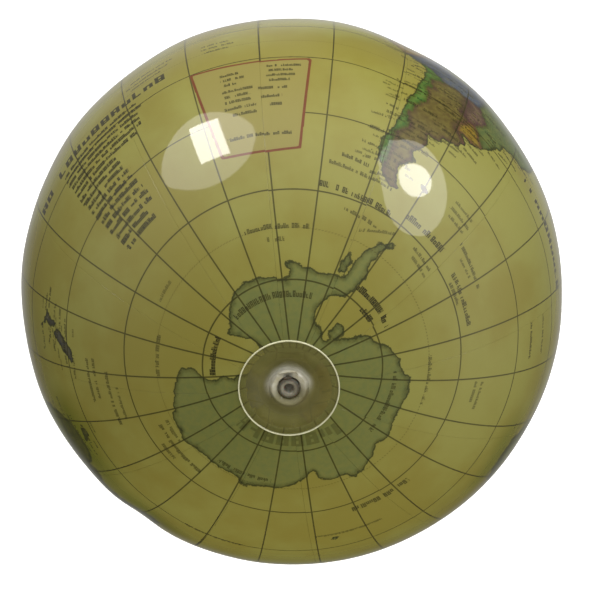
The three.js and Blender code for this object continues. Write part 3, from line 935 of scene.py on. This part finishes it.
def funnel_vinyl(name, crest, edge):
    """The flange's vinyl: milky on the funnel's lip, fading to nearly clear where it spreads out flat."""
    finish = Finish(bpy.data.materials.new(name))
    radius, milk_and_light = milk_and_lit_side(finish, crest + 0.4, edge - 2)
    cloud = finish.grain(*FUNNEL_CLOUD)
    fine = finish.grain(*VINYL_FINE)
    colour = finish.mix(cloud.rise(0.3, 0.7), FUNNEL_PALE, FUNNEL_DEEP)
    # Milky colour: partly the vinyl's own milkiness, partly painted light, lighter on the lamps' side.
    colour = finish.mix(milk_and_light, FUNNEL_CLEAR, colour)
    lip = 1 - radius.rise(crest - 0.3, crest + 0.3)
    cover = milk_and_light * 0.5 + lip * 0.4 + cloud * 0.16 + 0.2
    rough = (1 - lip) * 0.24 + fine * 0.04 + 0.05
    # Painted glow: the vinyl gives off a little light of its own colour.
    return finish.finish(Base_Color=colour, Alpha=cover, Roughness=rough, IOR=VINYL_INDEX,
                         Emission_Color=colour, Emission_Strength=VINYL_GLOW,
                         Normal=finish.bump(fine, 0.01 * MM))


# --- panels ---

def weld_pull(weld):
    return WELD_PULL[weld % PANELS] * MM


def smooth(value, low, high):
    """0 up to low, 1 from high on, and smooth between."""
    share = max(0, min(1, (value - low) / (high - low)))
    return share * share * (3 - 2 * share)


def hollow(angle, side):
    """How far in the skin lies at the slight hollow on one side of the ball, and how oval the ball is."""
    off = (angle - HOLLOW_SIDE + math.pi) % math.tau - math.pi
    dent = HOLLOW_DEPTH * math.exp(-(off / HOLLOW_WIDTH)**2) * smooth(side, *HOLLOW_REACH)
    return dent - OVAL * math.cos(2 * (angle - OVAL_SIDE)) * smooth(side, *OVAL_REACH)


def panel_point(number, fall, across):
    """A point of a panel's outer face: fall is the angle from the valve, across runs from -1 to 1."""
    share = (across + 1) / 2
    pull = weld_pull(number) * (1 - share) + weld_pull(number + 1) * share
    side = math.sin(fall)
    half = PANEL_TURN / 2 - (WELD_GAP + CREASE) / (RADIUS * side)
    angle = (number + 0.5) * PANEL_TURN + across * half
    way = Vector((side * math.cos(angle), side * math.sin(angle), math.cos(fall)))
    swell = SWELL * noise.noise(way * (RADIUS / SWELL_PITCH))
    seam = (number + (across > 0)) % PANELS
    crimp = Vector((seam * 9, abs(across) * 3, fall * RADIUS / PUCKER_PITCH))
    gather = PUCKER * across**8 * noise.noise(crimp) * smooth(side, *PUCKER_REACH)
    drawn = pull * smooth(side, *WELD_REACH) * (1 - math.cos(math.pi * across)) / 2
    return CENTRE + way * (RADIUS - drawn - hollow(angle, side) + swell + gather)


def turned_in(place, number, stage, side):
    """Where a point of a panel's long edge goes as the edge rolls inwards to its weld."""
    plane = (number + (side > 0)) * PANEL_TURN
    out = Vector((-math.sin(plane), math.cos(plane), 0)) * side
    inwards = (CENTRE - place).normalized()
    bend = min(stage, CREASE_STEPS) / CREASE_STEPS * math.pi / 2
    depth = CREASE * (1 - math.cos(bend)) + (WELD_DEPTH if stage > CREASE_STEPS else 0)
    return place + out * CREASE * math.sin(bend) + inwards * depth


def across_panel(column, fall):
    """Where a column lies across its panel, from -1 to 1. The outermost are narrow, for a crisp crease."""
    if column in (0, COLUMNS):
        return 2 * column / COLUMNS - 1
    band = CRISP_BAND / (RADIUS * math.sin(fall) * PANEL_TURN / 2)
    return (2 * (column - 1) / (COLUMNS - 2) - 1) * (1 - band)


def place_panel_vertex(vertex, number):
    """Moves a point of a plain spun panel to its place on the inflated, welded one."""
    arm = vertex.co - CENTRE
    fall = math.acos(arm.z / arm.length)
    turn = (math.atan2(arm.y, arm.x) - number * PANEL_TURN + 0.1) % math.tau - 0.1
    columns = COLUMNS + 2 * EDGE_COLUMNS
    column = round(turn / PANEL_TURN * columns) - EDGE_COLUMNS
    inner = max(0, min(COLUMNS, column))
    place = panel_point(number, fall, across_panel(inner, fall))
    if column != inner:
        place = turned_in(place, number, abs(column - inner), 1 if column > 0 else -1)
    place.z = max(place.z, CENTRE.z - REST_DEPTH)
    vertex.co = place


def panel(number, front, back):
    bm = bmesh.new()
    tip = bm.verts.new(CENTRE + Vector((math.sin(TIP_ANGLE), 0, math.cos(TIP_ANGLE))) * RADIUS)
    fall = math.pi - 2 * TIP_ANGLE
    bmesh.ops.spin(bm, geom=[tip], cent=CENTRE, axis=(0, 1, 0), angle=fall, steps=ROWS)
    turn = Matrix.Rotation(number * PANEL_TURN, 3, "Z")
    bmesh.ops.rotate(bm, verts=bm.verts, cent=CENTRE, matrix=turn)
    bmesh.ops.spin(bm, geom=[*bm.verts, *bm.edges], cent=CENTRE, axis=(0, 0, 1), angle=PANEL_TURN,
                   steps=COLUMNS + 2 * EDGE_COLUMNS)
    for vertex in bm.verts:
        place_panel_vertex(vertex, number)
    bmesh.ops.recalc_face_normals(bm, faces=bm.faces)
    face = min(bm.faces, key=lambda f: abs(f.calc_center_median().z - CENTRE.z))
    if face.normal.dot(face.calc_center_median() - CENTRE) < 0:
        bmesh.ops.reverse_faces(bm, faces=bm.faces)
    piece = finished(bm, f"globe_panel_{number + 1:02d}", front, back)
    print_map(piece.data, number)
    wall = piece.modifiers.new("film", "SOLIDIFY")
    wall.thickness = FILM
    wall.offset = -1
    wall.material_offset = 1
    return piece


def finished(bm, name, *materials):
    """Makes an object of a bmesh, smoothly shaded."""
    mesh = bpy.data.meshes.new(name)
    for face in bm.faces:
        face.smooth = True
    bm.to_mesh(mesh)
    bm.free()
    for material in materials:
        mesh.materials.append(material)
    piece = bpy.data.objects.new(name, mesh)
    bpy.context.scene.collection.objects.link(piece)
    return piece


def settle(piece, body, slot_name, *nodes):
    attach(piece, body)
    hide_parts(*nodes)
    return piece


def ease_edges(bm, softness):
    """Rounds a bmesh's sharp edges off."""
    sharp = [edge for edge in bm.edges if edge.calc_face_angle(0) > SHARP]
    bmesh.ops.bevel(bm, geom=sharp, offset=softness, offset_type="OFFSET", segments=3, profile=0.5,
                    affect="EDGES", material=-1)


# --- pieces turned about the ball's axis ---

def turned(name, profile, material, softness=0.1 * MM, steps=96, closed=True):
    """A piece spun from its section, given as (radius, height) in metres, with its sharp edges eased."""
    bm = bmesh.new()
    points = [bm.verts.new((radius, 0, height)) for radius, height in profile]
    pairs = list(zip(points, points[1:]))
    if closed:
        pairs.append((points[-1], points[0]))
    edges = [bm.edges.new(pair) for pair in pairs]
    bmesh.ops.spin(bm, geom=points + edges, cent=(0, 0, 0), axis=(0, 0, 1), angle=math.tau,
                   steps=steps, use_merge=True)
    bmesh.ops.remove_doubles(bm, verts=bm.verts, dist=0.002 * MM)
    bmesh.ops.recalc_face_normals(bm, faces=bm.faces)
    ease_edges(bm, softness)
    return finished(bm, name, material)


def even(first, last, steps):
    """Evenly spaced numbers from first to last, both included."""
    return [first + (last - first) * step / steps for step in range(steps + 1)]


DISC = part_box("valve_disc")
DISC_RADIUS = DISC[1].x
LIP = DISC[1].z
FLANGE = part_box("valve_flange")
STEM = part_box("valve_stem")
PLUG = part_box("valve_plug")
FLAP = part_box("check_flap")
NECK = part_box("valve_neck")
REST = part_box("rest_disc")
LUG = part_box("tether_lug")
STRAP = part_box("tether_strap")
JOINTS = {joint["name"]: joint for joint in frame["record"]["behaviour"]["joints"]}
PLUG_HINGE = JOINTS["plug_hinge"]

# The angle in radians from which an edge counts as sharp.
SHARP = 0.6

DISC_FILM = 0.5 * MM
MOUTH = 7.4 * MM
DIP_RADIUS = 15 * MM
TOUCH = 0.3 * MM
BEAD = 0.22 * MM
BEAD_RISE = 0.22 * MM
TROUGH = 2.4 * MM
TROUGH_RADIUS = 9 * MM
LIP_SWELL = 0.8 * MM
SWELL_RADIUS = 9.6 * MM
THROAT = 4.43 * MM
THROAT_WALL = 0.5 * MM
CONE_RADIUS = 6 * MM
CONE_DEPTH = 1.45 * MM
CONE_RISE = 1.33 * MM
CREST_RADIUS = 6.35 * MM
FLARE_DEPTH = 5 * MM
FLANGE_THICK = 0.8 * MM
NECK_RINGS = 9
NECK_RING = 0.09 * MM
BORE = 3.2 * MM
BARREL = 3.9 * MM
STEM_LEAD = 0.35 * MM
COLLAR_HEIGHT = 1 * MM
FLAP_STEP = 0.12 * MM
FLAP_EASE = 0.15 * MM
CAP_THICK = 1.2 * MM
PIN_RADIUS = 2.85 * MM
PIN_TIP = 1.6 * MM
PIN_BARB = 0.22 * MM
BEND_NICK = 0.08 * MM
STRAP_FOOT = 0.5 * MM
DIMPLE = 1.95 * MM
DIMPLE_FLOOR = 1.4 * MM
DIMPLE_DEPTH = 3.0 * MM

# How the flange's lip is eased on the tether's side, where the opened plug comes to lie.
RELIEF_GAP = 0.05 * MM
RELIEF_EDGE = 1.3 * MM
RELIEF_SOFTNESS = 0.4 * MM


def disc_top(radius):
    """Height of the clear disc's outer face: part of a sphere, drawn down round the valve."""
    outside = RADIUS + TOUCH + DISC_FILM
    dip = TROUGH * (1 - smooth(radius, TROUGH_RADIUS, DIP_RADIUS))
    swell = LIP_SWELL * (1 - smooth(radius, MOUTH - 1 * MM, SWELL_RADIUS))
    return CENTRE.z + math.sqrt(outside**2 - radius**2) - dip + swell


def bead_section(middle, level):
    """The rounded ridge that the weld leaves, from its inner foot over its top to its outer foot."""
    turns = even(math.pi, 0, 8)
    return [(middle + BEAD * math.cos(turn), level + BEAD_RISE * math.sin(turn)) for turn in turns]


def valve_disc(material):
    radii = even(MOUTH, DISC_RADIUS - 2.2 * BEAD, 26)
    top = [(radius, disc_top(radius)) for radius in radii]
    bead = bead_section(DISC_RADIUS - BEAD, disc_top(DISC_RADIUS - BEAD))
    foot = [(radius, disc_top(radius) - DISC_FILM) for radius in [*radii, DISC_RADIUS]][::-1]
    return turned("clear_valve_disc", top + bead + foot, material, steps=192)


def rest_disc(material):
    low, high = REST[0].z, REST[1].z
    edge = REST[1].x
    bow = [(radius, low) for radius in even(0.2 * MM, edge - 0.6 * MM, 10)]
    rim = [(edge - 0.12 * MM, low + 0.06 * MM), (edge, low + 0.22 * MM), (edge - 0.1 * MM, high)]
    upper = [(radius, high) for radius in even(edge - 0.6 * MM, 0.2 * MM, 10)]
    profile = [(0, low), *bow, *rim, *upper, (0, high)]
    return turned("clear_rest_disc", profile, material, closed=False, steps=128)


def flare(depth):
    rise = max(0, 1 - depth / FLARE_DEPTH)
    return THROAT + (MOUTH - TOUCH - THROAT) * rise**2


def valve_flange(material):
    """The milky moulding whose rounded lip stands round the plug and whose throat the stem slides in."""
    edge = FLANGE[1].x
    throat_depth = LIP - FLANGE[0].z
    brink = MOUTH - 0.05 * MM
    shoulder = disc_top(brink) - 0.05 * MM
    wall = [(THROAT, LIP - depth) for depth in even(CONE_DEPTH, throat_depth, 10)][::-1]
    cone = [(THROAT + (CONE_RADIUS - THROAT) * share, LIP - CONE_DEPTH + CONE_RISE * share**0.9)
            for share in even(0.05, 1, 8)]
    crest = [(CREST_RADIUS, LIP), (CREST_RADIUS + 0.18 * MM, LIP - 0.05 * MM)]
    outer = [(CREST_RADIUS + (brink - CREST_RADIUS) * share,
              LIP + (shoulder - LIP) * share**1.35) for share in even(0.3, 1, 8)]
    radii = even(MOUTH + TOUCH, edge, 8)
    ring_top = [(radius, disc_top(radius) - DISC_FILM - TOUCH) for radius in radii]
    collar = [(brink, ring_top[0][1] + 0.1 * MM)]
    ring_foot = [(radius, height - FLANGE_THICK) for radius, height in ring_top][::-1]
    back = [(flare(depth) + THROAT_WALL, LIP - depth)
            for depth in [*even(2 * MM, FLARE_DEPTH, 8), throat_depth]]
    profile = wall + cone + crest + outer + collar + ring_top + ring_foot + back
    return relieved(turned("funnel_flange", profile, material, 0.05 * MM, steps=144))


def relieved(flange):
    """Eases the lip on the tether's side, so that the opened plug lies clear of it."""
    hinge = Vector(PLUG_HINGE["pos_m"])
    opened = Matrix.Rotation(math.radians(PLUG_HINGE["range_deg"][1]), 3, "X")
    face = opened @ Vector((0, 0, 1))
    middle = hinge + opened @ (Vector((0, 0, PLUG[1].z)) - hinge)
    for vertex in flange.data.vertices:
        away = vertex.co - middle
        level = away.dot(face)
        aside = (away - face * level).length
        if -CAP_THICK - RELIEF_GAP < level < MM:
            share = 1 - smooth(aside, PLUG[1].x, PLUG[1].x + RELIEF_EDGE)
            gap = RELIEF_GAP - level
            vertex.co += face * (gap + math.hypot(gap, RELIEF_SOFTNESS)) / 2 * share
    return flange


def valve_neck(material):
    """The soft sleeve between flange and stem, with the slight rings it gets from folding."""
    low, high = NECK[0].z, NECK[1].z
    outer = NECK[1].x
    levels = even(low, high, 40)
    rings = [NECK_RING * math.sin(NECK_RINGS * math.tau * (z - low) / (high - low)) for z in levels]
    outside = [(outer - 0.1 * MM + wave, z) for z, wave in zip(levels, rings)]
    inside = [(outer - THROAT_WALL + 0.1 * MM + wave, z) for z, wave in zip(levels, rings)][::-1]
    return turned("folding_neck", outside + inside, material, 0.05 * MM)


def valve_stem(material):
    low, high = STEM[0].z, STEM[1].z
    collar = STEM[1].x
    profile = [
        (BORE, low + STEM_LEAD), (BORE + STEM_LEAD, low), (collar - 0.2 * MM, low),
        (collar, low + 0.25 * MM), (collar, low + COLLAR_HEIGHT),
        (BARREL, low + COLLAR_HEIGHT + STEM_LEAD),
        (BARREL, high - 0.2 * MM), (BARREL - 0.1 * MM, high - 0.05 * MM), (BARREL - 0.3 * MM, high),
        (BORE + 0.15 * MM, high), (BORE, high - 0.15 * MM),
    ]
    return turned("valve_stem_tube", profile, material, 0.06 * MM)


def check_flap(material):
    low, high = FLAP[0].z, FLAP[1].z
    edge = FLAP[1].x
    profile = [
        (0, low), (edge * 0.55, low), (edge * 0.62, low + FLAP_STEP), (edge - FLAP_EASE, low + FLAP_STEP),
        (edge, (low + high) / 2), (edge - FLAP_EASE, high), (0, high),
    ]
    return turned("check_flap_leaf", profile, material, 0.05 * MM, closed=False)


def valve_plug(material):
    low, high = PLUG[0].z, PLUG[1].z
    edge = PLUG[1].x
    foot = high - CAP_THICK
    profile = [
        (0, low), (PIN_TIP - 0.2 * MM, low), (PIN_TIP, low + 0.2 * MM),
        (PIN_RADIUS - 0.25 * MM, foot - 1.5 * MM),
        (PIN_RADIUS - 0.25 * MM + PIN_BARB, foot - 1.2 * MM),
        (PIN_RADIUS - 0.2 * MM, foot - 0.7 * MM), (PIN_RADIUS, foot), (edge - 0.25 * MM, foot),
        (edge, foot + 0.25 * MM), (edge, high - 0.75 * MM), (edge - 0.08 * MM, high - 0.5 * MM),
        (edge - 0.3 * MM, high - 0.24 * MM), (edge - 0.65 * MM, high - 0.07 * MM),
        (edge - 1.1 * MM, high), (DIMPLE + 0.3 * MM, high), (DIMPLE + 0.08 * MM, high - 0.08 * MM),
        (DIMPLE, high - 0.3 * MM), (DIMPLE_FLOOR + 0.1 * MM, high - DIMPLE_DEPTH + 0.4 * MM),
        (DIMPLE_FLOOR - 0.3 * MM, high - DIMPLE_DEPTH + 0.06 * MM), (0, high - DIMPLE_DEPTH),
    ]
    return turned("plug_cap", profile, material, 0.08 * MM, closed=False)


def tether(material):
    """The tether: a strap between the plug's cap and the stem, thinned where it bends."""
    width = STRAP[1].x - STRAP[0].x
    outer, inner = STRAP[0].y, STRAP[1].y
    root = -BARREL - 0.04 * MM
    top, bottom = STRAP[1].z, LUG[0].z
    bend = (STRAP[0].z + LUG[1].z) / 2
    outline = [
        (root, top), (outer, top), (outer, STRAP[0].z), (outer + BEND_NICK, bend), (outer, LUG[1].z),
        (outer, bottom), (root, bottom), (root, bottom + STRAP_FOOT), (inner, bottom + STRAP_FOOT),
        (inner, LUG[1].z), (inner - BEND_NICK, bend), (inner, STRAP[0].z), (inner, top - STRAP_FOOT),
        (root, top - STRAP_FOOT),
    ]
    bm = bmesh.new()
    face = bm.faces.new([bm.verts.new((-width / 2, y, z)) for y, z in outline])
    made = bmesh.ops.extrude_face_region(bm, geom=[face])["geom"]
    moved = [item for item in made if isinstance(item, bmesh.types.BMVert)]
    bmesh.ops.translate(bm, verts=moved, vec=(width, 0, 0))
    bmesh.ops.recalc_face_normals(bm, faces=bm.faces)
    ease_edges(bm, 0.07 * MM)
    bmesh.ops.triangulate(bm, faces=[face for face in bm.faces if len(face.verts) > 4])
    piece = finished(bm, "plug_tether", material)
    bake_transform(piece)
    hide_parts("tether_lug", "tether_strap")
    return piece


# --- stage ---

STAGE_RADIUS = 5
LAMP_WHITE = (1.0, 0.98, 0.95)
WINDOW_WHITE = (0.92, 0.98, 1.05)
BOUNCE_WHITE = (1.0, 0.965, 0.82)
DAYLIGHT = (1.0, 0.99, 0.97, 1)
FLOOR_GREY = (0.93, 0.93, 0.93)
FLOOR_FLECK = (0.9, 0.9, 0.9)
WALL_FLECK = (0.96, 0.96, 0.96)
WINDOW_LIGHT = 1.1
ROOM_LIGHT = 0.1
FLOOR_LIGHT = 0.3
FLOOR_GLOW = 0.3
CEILING_SHADE = 0.75

VIEW_SIDE = math.radians(262)
VIEW_RISE = math.radians(73.8)
VIEW_ROLL = math.radians(91.8)
VIEW_DISTANCE = 3.8 * RADIUS
LENS = 59.85
SHIFT = (0.0133, -0.0143)


def direction(side, rise):
    return Vector((math.cos(rise) * math.cos(side), math.cos(rise) * math.sin(side), math.sin(rise)))


WINDOW_WAY = direction(math.radians(249), math.radians(4))
DOORWAY_WAY = direction(math.radians(222), math.radians(-46))
DOORWAY_SHADE = 0.75


def camera():
    """Looks down on the valve from a little to one side, rolled so that the valve is below the middle."""
    toward = direction(VIEW_SIDE, VIEW_RISE)
    pole = (Vector((0, 0, 1)) - toward * toward.z).normalized()
    right = pole * math.cos(VIEW_ROLL) + toward.cross(pole) * math.sin(VIEW_ROLL)
    up = toward.cross(right)
    turn = Matrix((right, up, toward)).transposed()
    lens = bpy.data.cameras.new("view")
    lens.lens = LENS
    lens.shift_x, lens.shift_y = SHIFT
    lens.clip_start = 0.01
    seen = bpy.data.objects.new("view", lens)
    seen.matrix_world = Matrix.LocRotScale(CENTRE + toward * VIEW_DISTANCE, turn.to_quaternion(), None)
    bpy.context.scene.collection.objects.link(seen)
    bpy.context.scene.camera = seen


def lamp(name, side, rise, distance, size, brightness, shape, roll=0, shows=True, colour=LAMP_WHITE):
    """A soft lamp aimed at the ball, as bright as brightness says on its face. It may show in gloss."""
    light = bpy.data.lights.new(name, "AREA")
    light.shape = shape
    light.size, light.size_y = size
    area = size[0] * size[1] * (math.pi / 4 if shape == "ELLIPSE" else 1)
    light.energy = brightness * area * math.pi
    light.color = colour
    way = direction(math.radians(side), math.radians(rise))
    hung = bpy.data.objects.new(name, light)
    hung.rotation_mode = "QUATERNION"
    hung.rotation_quaternion = (-way).to_track_quat("-Z", "Y") @ Quaternion((0, 0, 1), math.radians(roll))
    hung.location = CENTRE + way * distance
    hung.visible_camera = False
    hung.visible_glossy = shows
    bpy.context.scene.collection.objects.link(hung)


def lamps():
    """Two umbrellas, each with its bulb, and two fills that don't show in the gloss."""
    lamp("left_umbrella", 292.0, 12.5, 1.20, (0.69, 0.69), 3.0, "ELLIPSE")
    lamp("left_bulb", 290.2, 10.4, 1.10, (0.20, 0.34), 13, "RECTANGLE")
    lamp("right_umbrella", 219.0, 15.5, 1.20, (0.54, 0.82), 3.4, "ELLIPSE", roll=25)
    lamp("right_bulb", 219.4, 14.1, 1.10, (0.24, 0.25), 11, "ELLIPSE")
    lamp("fill", 84.0, 22.0, 1.40, (1.5, 1.0), 5.4, "RECTANGLE", shows=False, colour=BOUNCE_WHITE)
    lamp("window_fill", 243.0, 32.0, 1.60, (1.5, 1.0), 3.3, "RECTANGLE", shows=False, colour=WINDOW_WHITE)


def surroundings():
    """A studio with its windows on the side that the lamps are on. It is dim overhead, behind and at the
    doorway."""
    world = bpy.data.worlds.new("studio")
    sky = Finish(world)
    x, y, z = sky.parts(sky.place())
    window = x * WINDOW_WAY.x + y * WINDOW_WAY.y + z * WINDOW_WAY.z
    light = window.rise(-0.95, 1.0) * WINDOW_LIGHT + ROOM_LIGHT
    light = light * (z.rise(-0.5, 0.3) * (1 - FLOOR_LIGHT) + FLOOR_LIGHT)
    light = light * (1 - z.rise(0.25, 1.0) * CEILING_SHADE) + (1 - z.rise(-0.95, -0.6)) * FLOOR_GLOW
    doorway = x * DOORWAY_WAY.x + y * DOORWAY_WAY.y + z * DOORWAY_WAY.z
    light = light * (1 - doorway.rise(0.84, 0.97) * DOORWAY_SHADE)
    glow = sky.put("Background", None, {"Color": DAYLIGHT, "Strength": light})
    sky.put("OutputWorld", None, {"Surface": glow})
    bpy.context.scene.world = world
    bpy.context.scene.view_settings.view_transform = "Standard"


def backcloth(piece):
    """Makes a piece of the stage show behind the ball without lighting it or showing in its gloss."""
    piece.visible_diffuse = False
    piece.visible_glossy = False
    piece.visible_transmission = False
    piece.visible_shadow = False


def floor():
    bm = bmesh.new()
    bmesh.ops.create_circle(bm, cap_ends=True, radius=STAGE_RADIUS, segments=96)
    finish = Finish(bpy.data.materials.new("pale_floor"))
    fleck = finish.grain(*FLOOR_GRAIN)
    colour = finish.mix(fleck, FLOOR_GREY, FLOOR_FLECK)
    paint = finish.finish(Base_Color=colour, Roughness=0.7, Emission_Color=(1, 1, 1, 1),
                          Emission_Strength=0.45)
    backcloth(finished(bm, "floor", paint))


def backdrop():
    bm = bmesh.new()
    bmesh.ops.create_icosphere(bm, subdivisions=4, radius=STAGE_RADIUS)
    finish = Finish(bpy.data.materials.new("pale_backdrop"))
    fleck = finish.grain(*WALL_GRAIN)
    shade = finish.mix(fleck, FLOOR_GREY, WALL_FLECK)
    paint = finish.finish(Base_Color=(0, 0, 0, 1), Specular_IOR_Level=0, Emission_Color=shade,
                          Emission_Strength=1)
    backcloth(finished(bm, "backdrop", paint))


# --- the ball put together ---

def build():
    front = printed_film("printed_film", back=False)
    back = printed_film("printed_film_back", back=True)
    disc_film = clear_film("clear_disc_film", 0.30, 0.5, DISC_RADIUS / MM, MOUTH / MM)
    milky = moulded_vinyl("milky_vinyl", MILKY_PALE, MILKY_DEEP, 0.82, 0.22)
    grey = moulded_vinyl("grey_vinyl", GREY_PALE, GREY_DEEP, 0.97, 0.28, PLUG[1].x / MM)
    for number in range(PANELS):
        settle(panel(number, front, back), "ball", "map_film", f"map_panel_{number + 1:02d}")
    settle(valve_disc(disc_film), "ball", "clear_film", "valve_disc")
    settle(rest_disc(disc_film), "ball", "clear_film", "rest_disc")
    funnel = funnel_vinyl("funnel_vinyl", CREST_RADIUS / MM, FLANGE[1].x / MM)
    settle(valve_flange(funnel), "ball", "soft_vinyl", "valve_flange")
    settle(valve_stem(grey), "stem", "valve_vinyl", "valve_stem")
    settle(check_flap(milky), "flap", "soft_vinyl", "check_flap")
    settle(valve_plug(grey), "plug", "valve_vinyl", "valve_plug")
    tether(grey)
    neck = valve_neck(milky)
    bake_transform(neck)
    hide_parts("valve_neck")


camera()
lamps()
surroundings()
floor()
backdrop()
build()
